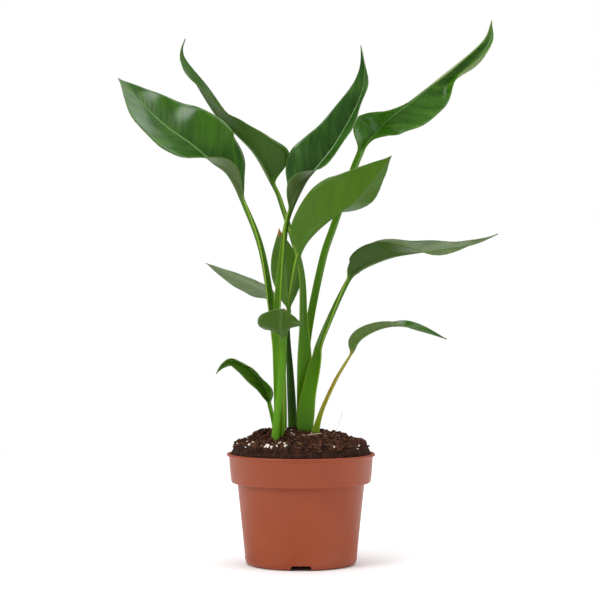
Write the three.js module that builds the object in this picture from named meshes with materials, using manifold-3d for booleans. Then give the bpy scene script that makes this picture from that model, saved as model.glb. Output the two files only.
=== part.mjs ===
// A young bird of paradise plant in a plastic nursery pot.
// Millimetres, +Z up. The origin is on the pot's axis, in the plane that the pot stands on.
// Eleven leaves, each one growth from its foot in the soil to its tip, stand in two tight fans.
import * as THREE from 'three';
import { mergeVertices } from 'three/addons/utils/BufferGeometryUtils.js';
import Module from 'manifold-3d';

// ---- Driving dimensions ----
const gap = 0.3;                // air kept between pieces that touch in the real plant

const potLipRadius = 60;        // outer edge of the lip: a 12 cm pot
const potHeight = 89.5;
const potWall = 1.2;
const lipHeight = 2.4;
const bandTopRadius = 58.3;     // the deep plain band under the lip
const bandFootRadius = 56.3;
const bandFoot = 67;            // height of the band's lower edge
const bodyTopRadius = 51.4;
const bodyFootRadius = 45.2;
const bodyCorner = 4;           // rounding between the wall and the foot ring
const footInnerRadius = 36.5;
const potFloor = 4.6;           // underside of the raised floor
const padRadius = 14;           // the floor's centre dips to a pad level with the foot ring
const padSlope = 2;             // how far out the floor has risen from the pad
const padWallInset = 0.8;       // inside of that slope, measured in from its outside
const footCornerFill = 1;       // flat fillet inside, between wall and floor
const lipEdge = 0.7;            // rounding along the top of the lip
const notchCount = 4;           // drainage notches through the foot ring
const notchHeight = 4.1;
const notchTopWidth = 14.6;
const notchFootWidth = 17.6;
const drainCount = 4;           // round holes in the floor
const drainRadius = 4;
const drainRing = 25;           // radius that the holes stand on

const soilCrown = 109;          // top of the heaped soil
const soilShoulder = 98.5;      // height where the heap begins to fall to the wall
const soilShoulderRadius = 51;
const soilEdge = 90.5;          // height where the soil meets the lip
const soilFootCorner = 1.5;     // where the soil misses the pot's inner corner
const soilRoughness = 0.7;      // height of the lumps

const lamina = 0.8;             // thickness of the thin part of a blade
const midrib = 2.0;             // thickness of a blade along its midrib, at the neck
const sectionPoints = [-1, -0.5, 0, 0.5, 1];    // margin, halfway, midrib and out again
const stalkGroove = 0.22;       // depth of the stalk's channel as a part of its thickness
const stalkEdge = 0.9;          // thickness of the stalk's two edges
const opening = 0.08;           // part of a blade's length over which the stalk's section opens out
const stalkRings = 8;
const bladeRings = 15;

// ---- Small helpers ----
const vec = (point) => new THREE.Vector3(...point);
const radians = THREE.MathUtils.degToRad;
const { lerp, smoothstep } = THREE.MathUtils;

// Runs smoothly through values that stand at even steps over the fractions 0 to 1.
function along(values, fraction) {
  const last = values.length - 1;
  const place = Math.min(1, fraction) * last;
  const from = Math.min(Math.floor(place), Math.max(0, last - 1));
  const at = (step) => values[Math.min(last, Math.max(0, step))];
  const t = place - from;
  const leave = (at(from + 1) - at(from - 1)) / 2;
  const arrive = (at(from + 2) - at(from)) / 2;
  const drop = at(from) - at(from + 1);
  return at(from) + leave * t - (3 * drop + 2 * leave + arrive) * t ** 2 + (2 * drop + leave + arrive) * t ** 3;
}

function meshOf(name, geometry, colour, roughness) {
  const material = new THREE.MeshStandardMaterial({ color: colour, roughness, metalness: 0 });
  const mesh = new THREE.Mesh(geometry, material);
  mesh.name = name;
  return mesh;
}

// ---- Solids that are cut with manifold-3d ----
const wasm = await Module();
wasm.setup();

function solidOf(geometry) {
  const bare = geometry.clone();
  bare.deleteAttribute('normal');
  bare.deleteAttribute('uv');
  const merged = mergeVertices(bare, 1e-4);
  const vertProperties = new Float32Array(merged.attributes.position.array);
  const triVerts = new Uint32Array(merged.index.array);
  return new wasm.Manifold(new wasm.Mesh({ numProp: 3, vertProperties, triVerts }));
}

function geometryOf(solid) {
  const { vertProperties, triVerts } = solid.getMesh();
  const geometry = new THREE.BufferGeometry();
  geometry.setAttribute('position', new THREE.BufferAttribute(vertProperties, 3));
  geometry.setIndex(new THREE.BufferAttribute(triVerts, 1));
  return geometry;
}

// A lathe about +Z: the profile lists [radius, height], outside first, and runs upwards.
function turned(profile, segments) {
  const points = profile.map(([radius, height]) => new THREE.Vector2(radius, height));
  return new THREE.LatheGeometry(points, segments).rotateX(Math.PI / 2);
}

// ---- The pot: one injection moulding ----
const bandRadius = (height) => lerp(bandFootRadius, bandTopRadius, (height - bandFoot) / (potHeight - bandFoot));

function potProfile() {
  const corner = [];
  for (const turn of [0, 30, 60, 90]) {
    const angle = radians(turn);
    const radius = bodyFootRadius - bodyCorner + bodyCorner * Math.sin(angle);
    corner.push([radius, bodyCorner - bodyCorner * Math.cos(angle)]);
  }
  const lipFoot = potHeight - lipHeight;
  const edgeRound = 1;
  const outside = [
    [0, 0],
    [padRadius, 0],
    [padRadius + padSlope, potFloor],
    [footInnerRadius, potFloor],
    [footInnerRadius, 0],
    ...corner,
    [bodyTopRadius, bandFoot - edgeRound],
    [bandFootRadius - edgeRound, bandFoot - edgeRound],
    [bandFootRadius, bandFoot],
    [bandRadius(lipFoot), lipFoot],
    [potLipRadius - 0.5, lipFoot + 0.3],
    [potLipRadius, lipFoot + 1],
    [potLipRadius, potHeight - lipEdge],
    [potLipRadius - lipEdge, potHeight],
  ];
  const inside = [
    [bandTopRadius - potWall, potHeight],
    [bandFootRadius - potWall, bandFoot + potWall],
    [bodyTopRadius - potWall, bandFoot],
    [bodyFootRadius - potWall, potFloor + potWall + footCornerFill],
    [bodyFootRadius - potWall - footCornerFill, potFloor + potWall],
    [padRadius + padSlope - padWallInset, potFloor + potWall],
    [padRadius - padWallInset, potWall],
    [0, potWall],
  ];
  return [...outside, ...inside];
}

// A drainage notch: a short slot through the foot ring, wider at the bottom.
function notchCutter(turn) {
  const below = 1;
  const flare = (notchFootWidth - notchTopWidth) / notchHeight;
  const footHalf = notchFootWidth / 2 + flare * below / 2;
  const outline = new THREE.Shape([
    new THREE.Vector2(-footHalf, -below),
    new THREE.Vector2(footHalf, -below),
    new THREE.Vector2(notchTopWidth / 2, notchHeight),
    new THREE.Vector2(-notchTopWidth / 2, notchHeight),
  ]);
  const reach = 5;
  const inner = footInnerRadius - reach;
  const depth = bodyFootRadius + reach - inner;
  const cutter = new THREE.ExtrudeGeometry(outline, { depth, bevelEnabled: false });
  return cutter.rotateX(Math.PI / 2).translate(0, -inner, 0).rotateZ(turn);
}

function drainCutter(turn) {
  const cutter = new THREE.CylinderGeometry(drainRadius, drainRadius, 5 * potWall, 16);
  return cutter.rotateX(Math.PI / 2).translate(drainRing, 0, potFloor).rotateZ(turn);
}

function potGeometry() {
  let pot = solidOf(turned(potProfile(), 64));
  for (let index = 0; index < notchCount; index += 1) {
    pot = pot.subtract(solidOf(notchCutter(index * 2 * Math.PI / notchCount)));
  }
  for (let index = 0; index < drainCount; index += 1) {
    pot = pot.subtract(solidOf(drainCutter(index * 2 * Math.PI / drainCount)));
  }
  return geometryOf(pot);
}

// ---- The leaves ----
// stalk: points from the foot, buried in the soil, up to the neck where the blade opens.
// blade: points on along the midrib to the tip.
// width: the stalk across, at even steps from foot to neck; it is broadest where its foot sheathes
// the younger stalks. depth: the same, front to back.
// left, right: how wide the two halves of the blade are for someone who faces its upper side, tip
// up, at even steps from neck to tip.
// fold: how steeply the halves rise from the midrib, in degrees, at even steps too.
// curl: how far a half bends on from there to its margin. curlRight: the same, where it differs.
// turn: which way the upper side looks, at even steps: 0 is to the front, and 90 and -90 are upwards
// on a leaf that leans to the left and to the right. footTurn: the same at the foot of the stalk.
const leaves = [
  {
    name: 'leaf_upper_left',
    stalk: [[-17, -20, 86], [-17.5, -20, 120], [-18.5, -20, 150], [-21, -20, 183], [-31, -22, 249], [-45, -24, 289]],
    blade: [[-57, -25, 313], [-71, -25, 324], [-89, -22, 339], [-113, -16, 357], [-148, -3, 393]],
    width: [8, 7.5, 7, 6, 5.5, 5, 4.8], depth: [4, 4], footTurn: 0,
    left: [0, 7, 18, 26, 29, 26, 20, 10, 0],
    right: [0.5, 9, 25, 30.5, 28, 23, 16.5, 8.5, 0],
    fold: [78, 74, 54, 33, 28, 26, 24, 22, 20], curl: [0],
    turn: [88, 80, 56, 32, 28, 28, 25, 22, 20],
  },
  {
    name: 'leaf_curled_left',
    stalk: [[2.5, -3, 84], [2.5, -3, 133], [2.5, -3, 170], [1.5, -3, 200], [-1, -2, 240], [-16, 0, 291], [-21, 0, 304]],
    blade: [[-36, -3, 331], [-52, -5, 348], [-68, -6, 363], [-91, -8, 400], [-96, -8, 413], [-93, -8, 424]],
    width: [11, 12, 12, 11.5, 7, 5.5, 4.8, 4.2, 4], depth: [4.2, 3.6], footTurn: 0,
    left: [0, 22, 17, 13, 13, 15, 14, 6, 0],
    right: [0, 24, 18, 14, 12, 10, 7, 3, 0],
    fold: [80, 78, 68, 52, 40, 28, 18, 15, 20], curl: [0],
    turn: [90, 90, 90, 90, 85, 75, 62, 60, 70],
  },
  {
    name: 'leaf_upright_middle',
    stalk: [[-18, -26, 86], [-18, -26, 134], [-19, -26, 178], [-18, -26, 213], [-14, -26, 253], [-10, -25, 280]],
    blade: [[2, -24, 306], [14, -23, 321], [29, -22, 341], [47, -17, 375], [51, -12, 397], [48, -6, 419]],
    width: [7.5, 4.6], depth: [4, 4], footTurn: 0,
    left: [0, 10, 24, 22.5, 18, 14.5, 10, 4, 0],
    right: [0, 11, 18, 17, 14, 13, 10, 5, 0],
    fold: [75, 70, 45, 38, 38, 38, 40, 42, 45], curl: [0],
    turn: [-90, -85, -48, -32, -32, -33, -36, -40, -42],
  },
  {
    name: 'leaf_bowed_right',
    stalk: [[-14, -14, 85], [-14, -14, 133], [-13, -15, 177], [-10, -19, 205], [-6, -26, 229], [-2, -33, 247]],
    blade: [[3, -37, 258], [13, -41, 269], [28, -45, 281], [46, -47, 295], [71, -45, 327]],
    width: [5.4, 3.6], depth: [3.6, 3.2], footTurn: -60,
    left: [0, 15.9, 23.7, 26.9, 26.5, 23.8, 18.1, 9.4, 0],
    right: [0, 15.3, 23.2, 27.3, 27.7, 24.5, 18, 9, 0],
    fold: [75, 60, 50, 35, 25, 25], curl: [0],
    turn: [-120, -130, -135, -144, -148, -148],
  },
  {
    name: 'leaf_tall_right',
    stalk: [[3, 5, 83], [3, 5, 132], [5, 6, 181], [17, 10, 243], [27, 12, 274], [48, 16, 332]],
    blade: [[63, 18, 352], [75, 19, 364], [93, 21, 378], [114, 24, 395], [149, 27, 425], [158, 28, 444]],
    width: [7, 5.6], depth: [4.2, 4.2], footTurn: 0,
    left: [7, 20, 13.5, 12, 9, 5, 2.5, 1, 0],
    right: [0.5, 12, 16, 21.5, 20.5, 15, 21, 11, 0],
    fold: [50, 40, 35, 40, 40, 38, 35, 35, 35], curl: [0], curlRight: [0, 0, 0, 0, 30, 120, 180, 170, 60],
    turn: [-10, -28, 30, 48, 55, 60, 70, 85, 95],
  },
  {
    name: 'leaf_arching_right',
    stalk: [[3, -9, 85], [3.5, -9, 110], [5, -9, 130], [9, -9, 150], [13, -9, 166], [17, -8, 182], [37, -3, 227]],
    blade: [[46, -3, 237], [57, -3, 243], [74, -3, 249], [92, -4, 252], [116, -5, 255], [140, -6, 259], [159, -7, 267]],
    width: [10.5, 11.5, 14, 12, 10.5, 5.8, 5.2, 4.8, 4.6], depth: [3.8, 3.8, 3.8, 3.8, 4, 4.2, 4, 3.8, 3.8], footTurn: 0,
    left: [0, 14.8, 17.8, 17.7, 16.2, 13.3, 9.2, 4.4, 0],
    right: [0, 14.8, 17.8, 17.7, 16.2, 13.3, 9.2, 4.4, 0],
    fold: [78, 65, 55, 30, 8, 8, 15, 20], curl: [0],
    turn: [-90, -90, -88, -78, -66, -66, -72, -80],
  },
  {
    name: 'leaf_short_front',
    stalk: [[-21, -32, 87], [-20, -32, 110], [-17, -32, 140], [-14.5, -32, 174], [-14, -33, 183]],
    blade: [[-15, -41, 190], [-15, -53, 197], [-14, -63, 203], [-13, -71, 207]],
    width: [6.5, 4.8], depth: [4, 3.6], footTurn: 180,
    left: [0, 9.9, 13.5, 15.4, 16, 15.1, 11.8, 6.2, 0],
    right: [0, 11.8, 16, 18.3, 19, 17.9, 14, 7.4, 0],
    fold: [50, 10, 0, -5, 0], curl: [0],
    turn: [180],
  },
  {
    name: 'leaf_low_right',
    stalk: [[8, -16, 85], [11, -16, 103], [15, -16, 119], [20, -15, 132], [29, -14, 151], [39, -13, 168]],
    blade: [[45, -12, 180], [54, -11, 187], [67, -9, 192], [81, -7, 193], [99, -5, 189], [118, -3, 182]],
    width: [10, 9, 6.5, 4.2, 3.3, 3, 2.8, 2.5, 2.4], depth: [3, 3, 3, 2.6, 2.4, 2.2, 2], footTurn: -20,
    left: [0, 7, 8.8, 8.9, 8.1, 6.6, 4.6, 2.2, 0],
    right: [0, 7, 8.8, 8.9, 8.1, 6.6, 4.6, 2.2, 0],
    fold: [70, 60, 40, 20, 20, 20, 20], curl: [0],
    turn: [-90, -90, -90, -90, -60, -50, -50],
  },
  {
    name: 'leaf_back_left',
    stalk: [[-14, -3, 84], [-14, -2, 133], [-15, 2, 173], [-16, 9, 195], [-20, 14, 209]],
    blade: [[-27, 20, 219], [-39, 26, 225], [-52, 31, 231], [-65, 35, 237], [-79, 38, 244]],
    width: [5.5, 3.6], depth: [3.6, 3], footTurn: 180,
    left: [0, 4.5, 5.6, 5.4, 5, 4.2, 3, 1.5, 0],
    right: [0, 4.9, 7.8, 9, 8.7, 7.4, 5.4, 2.6, 0],
    fold: [60, 30, 25, 20], curl: [0],
    turn: [180],
  },
  {
    name: 'leaf_low_left',
    stalk: [[-20, -11, 85], [-21, -10, 109], [-25, -9, 128]],
    blade: [[-30, -8, 145], [-39, -9, 156], [-47, -10, 162], [-56, -13, 165], [-63, -15, 161], [-68, -16, 154]],
    width: [4.6, 3.4], depth: [3.6, 3], footTurn: 0,
    left: [0, 5.5, 8.6, 10, 9.5, 7.9, 5.5, 2.6, 0],
    right: [0, 8.2, 10.8, 10.6, 9.2, 7.1, 4.7, 2.1, 0],
    fold: [50, 55, 57, 50, 30], curl: [0],
    turn: [0, -15, -27, -27, -27],
  },
  {
    name: 'leaf_upright_back',
    stalk: [[-7, 12, 83], [-7, 12, 115], [-9, 12, 156], [-11, 11, 189], [-10, 10, 204]],
    blade: [[-11, 9, 215], [-12, 9, 232], [-15, 10, 252], [-18, 13, 272]],
    width: [7.5, 7.5, 6.5, 4.5, 3.8], depth: [3.6, 3], footTurn: 180,
    left: [0, 6.5, 10.5, 12.6, 12.9, 11.4, 8.4, 4.2, 0],
    right: [0, 6, 9.7, 11.7, 11.9, 10.5, 7.7, 3.9, 0],
    fold: [50, 10, 10], curl: [0],
    turn: [180],
  },
];

// The grooved stalk across: a D with a shallow channel in its flat side.
// Each point is [across, out of the upper side].
function stalkSection(width, depth, grow) {
  const edge = Math.min(stalkEdge, depth / 3);
  const groove = stalkGroove * depth;
  const upper = sectionPoints.map((q) => [
    q * (width / 2 + grow),
    depth / 2 - groove * (1 - q * q) + grow,
  ]);
  const under = sectionPoints.map((q) => [
    Math.sin(q * Math.PI / 2) * (width / 2 + grow),
    depth / 2 - edge - (depth - edge) * Math.cos(q * Math.PI / 2) - grow,
  ]);
  return [...upper, ...under.reverse()];
}

// The blade across: two halves that rise from the midrib and bend on to thin margins.
function bladeSection(leaf, fraction) {
  const rib = lerp(midrib, lamina, fraction);
  const start = radians(along(leaf.fold, fraction));
  const upper = [];
  const under = [];
  for (const q of sectionPoints) {
    const half = Math.max(0.3, along(q < 0 ? leaf.left : leaf.right, fraction));
    const bend = radians(along(q < 0 ? leaf.curl : leaf.curlRight ?? leaf.curl, fraction)) || 1e-6;
    const distance = Math.abs(q) * half;
    const rate = bend / half;
    const slope = start + rate * distance;
    const across = (Math.sin(slope) - Math.sin(start)) / rate;
    const rise = (Math.cos(start) - Math.cos(slope)) / rate;
    const thick = lerp(rib, lamina, Math.min(1, 2 * Math.abs(q)));
    const side = Math.sign(q);
    upper.push([side * across, rise]);
    under.push([side * (across + thick * Math.sin(slope)), rise - thick * Math.cos(slope)]);
  }
  return [...upper, ...under.reverse()];
}

// Carries the section from the foot to the tip. grow makes the same leaf fatter all round.
function leafGeometry(leaf, grow = 0) {
  const points = [...leaf.stalk, ...leaf.blade].map(vec);
  const curve = new THREE.CatmullRomCurve3(points, false, 'catmullrom', 0.5);
  const steps = 400;
  const lengths = curve.getLengths(steps);
  const neck = lengths[Math.round(steps * (leaf.stalk.length - 1) / (points.length - 1))] / lengths[steps];
  const places = [];
  for (let ring = 0; ring < stalkRings; ring += 1) {
    places.push(neck * ring / stalkRings);
  }
  for (let ring = 0; ring < bladeRings; ring += 1) {
    places.push(lerp(neck, 1, ring / bladeRings));
  }
  const ringSize = 2 * sectionPoints.length;
  const positions = [];
  for (const place of places) {
    const centre = curve.getPointAt(place);
    const tangent = curve.getTangentAt(place);
    const stalkFraction = Math.min(1, place / neck);
    const bladeFraction = Math.max(0, (place - neck) / (1 - neck));
    const stalkTurn = lerp(leaf.footTurn, leaf.turn[0], stalkFraction ** 2);
    const turn = place < neck ? stalkTurn : along(leaf.turn, bladeFraction);
    const face = new THREE.Vector3(0, -1, 0);
    face.addScaledVector(tangent, -face.dot(tangent)).normalize();
    face.applyAxisAngle(tangent, radians(turn));
    const across = new THREE.Vector3().crossVectors(tangent, face);
    const stalk = stalkSection(along(leaf.width, stalkFraction), along(leaf.depth, stalkFraction), grow);
    const blade = bladeSection(leaf, bladeFraction);
    const opened = smoothstep(bladeFraction, 0, opening);
    for (let corner = 0; corner < ringSize; corner += 1) {
      const sideways = lerp(stalk[corner][0], blade[corner][0], opened);
      const outwards = lerp(stalk[corner][1], blade[corner][1], opened);
      const point = centre.clone().addScaledVector(across, sideways).addScaledVector(face, outwards);
      positions.push(point.x, point.y, point.z);
    }
  }
  const tip = curve.getPoint(1);
  positions.push(tip.x, tip.y, tip.z);

  const index = [];
  for (let ring = 0; ring + 1 < places.length; ring += 1) {
    for (let corner = 0; corner < ringSize; corner += 1) {
      const a = ring * ringSize + corner;
      const b = ring * ringSize + (corner + 1) % ringSize;
      index.push(a, b, a + ringSize, b, b + ringSize, a + ringSize);
    }
  }
  const last = (places.length - 1) * ringSize;
  for (let corner = 0; corner < ringSize; corner += 1) {
    index.push(last + corner, last + (corner + 1) % ringSize, positions.length / 3 - 1);
  }
  for (let q = 0; q + 1 < sectionPoints.length; q += 1) {
    const [a, b] = [q, q + 1];
    const [c, d] = [ringSize - 1 - q, ringSize - 2 - q];
    index.push(a, c, b, b, c, d);
  }
  const geometry = new THREE.BufferGeometry();
  geometry.setAttribute('position', new THREE.Float32BufferAttribute(positions, 3));
  geometry.setIndex(index);
  return geometry;
}

// ---- The potting soil: fills the pot and stands above it in a rough heap ----
function soilProfile() {
  const floor = potFloor + potWall + gap;
  const inset = potWall + gap;
  const sides = [
    [0, inset],
    [padRadius - padWallInset - gap, inset],
    [padRadius + padSlope - padWallInset - gap, floor],
    [bodyFootRadius - inset - soilFootCorner, floor],
    [bodyFootRadius - inset, floor + soilFootCorner],
    [bodyTopRadius - inset, bandFoot + gap],
    [bandFootRadius - inset, bandFoot + potWall + gap],
    [bandTopRadius - inset - 0.1, soilEdge - 2],
    [bandTopRadius - inset - 1, soilEdge],
  ];
  const heap = [];
  const heapRings = 9;
  for (let ring = 0; ring < heapRings; ring += 1) {
    const radius = soilShoulderRadius * (1 - ring / heapRings);
    const rise = Math.cos(Math.PI / 2 * radius / soilShoulderRadius) ** 1.2;
    heap.push([radius, lerp(soilShoulder, soilCrown, rise)]);
  }
  return [...sides, [soilShoulderRadius + 3, soilShoulder - 2.5], ...heap, [0, soilCrown]];
}

function soilGeometry() {
  const geometry = turned(soilProfile(), 48);
  const position = geometry.attributes.position;
  for (let index = 0; index < position.count; index += 1) {
    const [x, y, z] = [position.getX(index), position.getY(index), position.getZ(index)];
    const lumps = Math.sin(0.31 * x + 1.3) * Math.cos(0.27 * y) + Math.sin(0.53 * x - 0.47 * y);
    const loose = smoothstep(z, soilEdge, soilShoulder);
    position.setZ(index, z + soilRoughness * lumps * loose);
  }
  let soil = solidOf(geometry);
  for (const leaf of leaves) {
    soil = soil.subtract(solidOf(leafGeometry(leaf, gap)));
  }
  return geometryOf(soil);
}

// ---- Assembly ----
const leafColour = 0x2f6b2b;
const group = new THREE.Group();
group.add(meshOf('pot', potGeometry(), 0xa0523a, 0.5));
group.add(meshOf('potting_soil', soilGeometry(), 0x3f2a1e, 0.95));
for (const leaf of leaves) {
  group.add(meshOf(leaf.name, leafGeometry(leaf), leafColour, 0.4));
}

export default group;
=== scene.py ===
import math
import random

import bmesh
import bpy
from mathutils import Matrix, Quaternion, Vector, noise


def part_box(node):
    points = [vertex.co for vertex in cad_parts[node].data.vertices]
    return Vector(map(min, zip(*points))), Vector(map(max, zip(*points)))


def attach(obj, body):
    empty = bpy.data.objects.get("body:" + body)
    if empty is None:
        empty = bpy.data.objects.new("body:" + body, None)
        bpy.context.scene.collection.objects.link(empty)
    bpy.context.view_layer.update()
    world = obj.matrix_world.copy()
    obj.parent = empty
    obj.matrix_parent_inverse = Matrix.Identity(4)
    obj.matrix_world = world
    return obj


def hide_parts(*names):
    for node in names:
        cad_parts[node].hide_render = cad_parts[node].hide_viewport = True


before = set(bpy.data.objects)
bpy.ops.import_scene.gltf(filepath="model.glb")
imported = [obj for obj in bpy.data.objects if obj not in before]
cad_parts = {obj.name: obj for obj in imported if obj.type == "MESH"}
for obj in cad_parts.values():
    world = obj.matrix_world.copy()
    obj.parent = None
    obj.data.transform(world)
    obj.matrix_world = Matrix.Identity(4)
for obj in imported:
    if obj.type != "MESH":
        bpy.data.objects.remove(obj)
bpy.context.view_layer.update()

MM = 0.001


# ---------------------------------------------------------------------------------------------
# The camera: level, straight in front of the plant, one and a half metres away, with a long lens
# that takes in the whole plant and little more.
# ---------------------------------------------------------------------------------------------
camera = bpy.data.objects.new("camera", bpy.data.cameras.new("camera"))
camera.location = Vector((-0.8, -1500, 213.4)) * MM
camera.rotation_euler = (math.radians(90), 0, 0)
camera.data.sensor_width = 36
camera.data.lens = 111.1
camera.data.clip_end = 20
bpy.context.scene.collection.objects.link(camera)
bpy.context.scene.camera = camera


# ---------------------------------------------------------------------------------------------
# The pot: one thin moulding in terracotta-coloured polypropylene, with a rolled lip, a deep plain
# band, a tapered body and a foot ring with four drainage notches. It came out of its mould smooth,
# and handling has left it slightly matt and mottled.
# ---------------------------------------------------------------------------------------------
def paint(red, green, blue):
    """An 8-bit screen colour as the linear colour that a shader takes."""
    levels = (red, green, blue)
    linear = [((level / 255 + 0.055) / 1.055) ** 2.4 if level > 10 else level / 3295 for level in levels]
    return (*linear, 1)


def add_node(tree, kind, inputs=None, **settings):
    """A shader node with its settings made and its inputs joined or set."""
    made = tree.nodes.new(kind)
    for name, value in settings.items():
        setattr(made, name, value)
    for socket, value in (inputs or {}).items():
        if isinstance(value, bpy.types.NodeSocket):
            tree.links.new(value, made.inputs[socket])
        else:
            made.inputs[socket].default_value = value
    return made


def new_finish(name):
    """A new material, with its node tree and its Principled shader."""
    finish = bpy.data.materials.new(name)
    finish.use_nodes = True
    return finish, finish.node_tree, finish.node_tree.nodes["Principled BSDF"]


def ramp(tree, factor, stops):
    """A colour ramp through (place, colour) stops, and its colour socket."""
    made = add_node(tree, "ShaderNodeValToRGB", {"Fac": factor})
    band = made.color_ramp
    while len(band.elements) < len(stops):
        band.elements.new(0.5)
    for element, (place, colour) in zip(band.elements, stops):
        element.position = place
        element.color = colour
    return made.outputs["Color"]


def mixed(tree, factor, first, second, blend="MIX"):
    """Two colours mixed by a factor."""
    made = add_node(tree, "ShaderNodeMix", data_type="RGBA", blend_type=blend)
    for socket, value in ((made.inputs[0], factor), (made.inputs[6], first), (made.inputs[7], second)):
        if isinstance(value, bpy.types.NodeSocket):
            tree.links.new(value, socket)
        else:
            socket.default_value = value
    return made.outputs[2]


def calculated(tree, operation, *values, clamp=False):
    """A Math node on two or three values."""
    made = add_node(tree, "ShaderNodeMath", dict(enumerate(values)), operation=operation, use_clamp=clamp)
    return made.outputs[0]


def graded(tree, value, low, high, to_low=0.0, to_high=1.0):
    """A value carried smoothly from one range to another."""
    made = add_node(tree, "ShaderNodeMapRange", {0: value, 1: low, 2: high, 3: to_low, 4: to_high},
                    interpolation_type="SMOOTHSTEP")
    return made.outputs[0]


def finished_piece(name, shape, finish, body="root"):
    """Turns a bmesh into a named object at the origin, with its finish, riding on its body."""
    mesh = bpy.data.meshes.new(name)
    shape.to_mesh(mesh)
    shape.free()
    mesh.materials.append(finish)
    piece = bpy.data.objects.new(name, mesh)
    bpy.context.scene.collection.objects.link(piece)
    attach(piece, body)
    return piece


def pot_finish():
    """Terracotta plastic, faintly mottled and grained, dusty near its foot."""
    finish, tree, shader = new_finish("terracotta_plastic")
    place = add_node(tree, "ShaderNodeTexCoord").outputs["Object"]
    cloud = add_node(tree, "ShaderNodeTexNoise",
                     {"Vector": place, "Scale": 28, "Detail": 5, "Roughness": 0.6})
    base = ramp(tree, cloud.outputs["Fac"], [(0.3, paint(142, 62, 30)), (0.7, paint(152, 71, 38))])
    grain = add_node(tree, "ShaderNodeTexNoise", {"Vector": place, "Scale": 900, "Detail": 3})
    speck = graded(tree, grain.outputs["Fac"], 0.62, 0.75)
    base = mixed(tree, calculated(tree, "MULTIPLY", speck, 0.25), base, paint(164, 88, 62))
    height = add_node(tree, "ShaderNodeSeparateXYZ", {0: place}).outputs[2]
    low_down = graded(tree, height, 0.018, 0.0)
    dust = calculated(tree, "MULTIPLY", low_down, graded(tree, cloud.outputs["Fac"], 0.4, 0.7))
    base = mixed(tree, calculated(tree, "MULTIPLY", dust, 0.3), base, paint(156, 98, 76))
    tree.links.new(base, shader.inputs["Base Color"])
    rough = graded(tree, cloud.outputs["Fac"], 0.3, 0.7, 0.36, 0.5)
    tree.links.new(rough, shader.inputs["Roughness"])
    stretched = add_node(tree, "ShaderNodeMapping", {"Vector": place, "Scale": (1, 1, 0.12)}).outputs[0]
    scuff = add_node(tree, "ShaderNodeTexNoise", {"Vector": stretched, "Scale": 260, "Detail": 4})
    relief = calculated(tree, "MULTIPLY", scuff.outputs["Fac"], 0.5)
    relief = calculated(tree, "ADD", relief, grain.outputs["Fac"])
    bump = add_node(tree, "ShaderNodeBump", {"Height": relief, "Strength": 0.08, "Distance": 0.0006})
    tree.links.new(bump.outputs[0], shader.inputs["Normal"])
    shader.inputs["Specular IOR Level"].default_value = 0.3
    return finish


def arc(centre, radius, start, end, steps):
    """Points on an arc in the pot's (radius, height) plane, in degrees."""
    turns = [math.radians(start + (end - start) * step / steps) for step in range(steps + 1)]
    return [(centre[0] + radius * math.cos(turn), centre[1] + radius * math.sin(turn)) for turn in turns]


pot_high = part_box("pot")[1]
lip_radius = pot_high.x / MM
pot_height = pot_high.z / MM
pot_wall = 1.2
band_foot = 67
floor_height = 4.6
pad_radius = 14
foot_inner = 36.5
body_foot = 45.2
body_top = 51.4
notch_top = 14.6
notch_foot = 18.4
drain_radius = 4
drain_place = 25


def pot_outline():
    """The pot's cut face as (radius, height) in millimetres, from under its centre to inside it."""
    outside = [(0, 0), (pad_radius, 0), (pad_radius + 2, floor_height), (foot_inner, floor_height)]
    outside += [(foot_inner, 0.3), (foot_inner + 0.3, 0)]
    outside += arc((body_foot - 4, 4), 4, -90, -8, 7)
    outside += [(body_foot + 0.25, 5.2), (body_foot + 0.05, 5.6)]
    outside += [(body_top - 0.6, band_foot - 7), (body_top, band_foot - 1.4)]
    outside += [(body_top + 0.3, band_foot - 1.1)]
    outside += arc((54.9, band_foot + 0.6), 1.6, -90, -4, 6)
    outside += [(56.75, band_foot + 3.4), (57.0, band_foot + 3.7), (58.1, pot_height - 3.2)]
    outside += [(58.5, pot_height - 2.5)]
    outside += arc((lip_radius - 1.05, pot_height - 1.05), 1.05, -60, 90, 9)
    inside = [(57.6, pot_height - 0.15), (57.2, pot_height - 0.7), (55.4, band_foot + 2.2)]
    inside += [(54.9, band_foot + pot_wall), (50.6, band_foot + 0.2), (50.1, band_foot - 0.6)]
    inside += [(body_foot - pot_wall, floor_height + 2.2), (body_foot - 2.2, floor_height + pot_wall)]
    inside += [(pad_radius + 1.2, floor_height + pot_wall), (pad_radius - 0.8, pot_wall), (0, pot_wall)]
    return outside + inside


def spun(outline, steps):
    """A closed body of revolution about +Z from an outline that starts and ends on the axis."""
    shape = bmesh.new()
    corners = [shape.verts.new((radius * MM, 0, height * MM)) for radius, height in outline]
    edges = [shape.edges.new(pair) for pair in zip(corners, corners[1:])]
    bmesh.ops.spin(shape, geom=corners + edges, cent=(0, 0, 0), axis=(0, 0, 1), angle=2 * math.pi,
                   steps=steps, use_merge=True)
    bmesh.ops.remove_doubles(shape, verts=shape.verts, dist=1e-6)
    bmesh.ops.recalc_face_normals(shape, faces=shape.faces)
    return shape


def cutter_object(name, shape):
    """An object that is only there to be cut out of another."""
    mesh = bpy.data.meshes.new(name)
    shape.to_mesh(mesh)
    shape.free()
    made = bpy.data.objects.new(name, mesh)
    bpy.context.scene.collection.objects.link(made)
    return made


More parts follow.
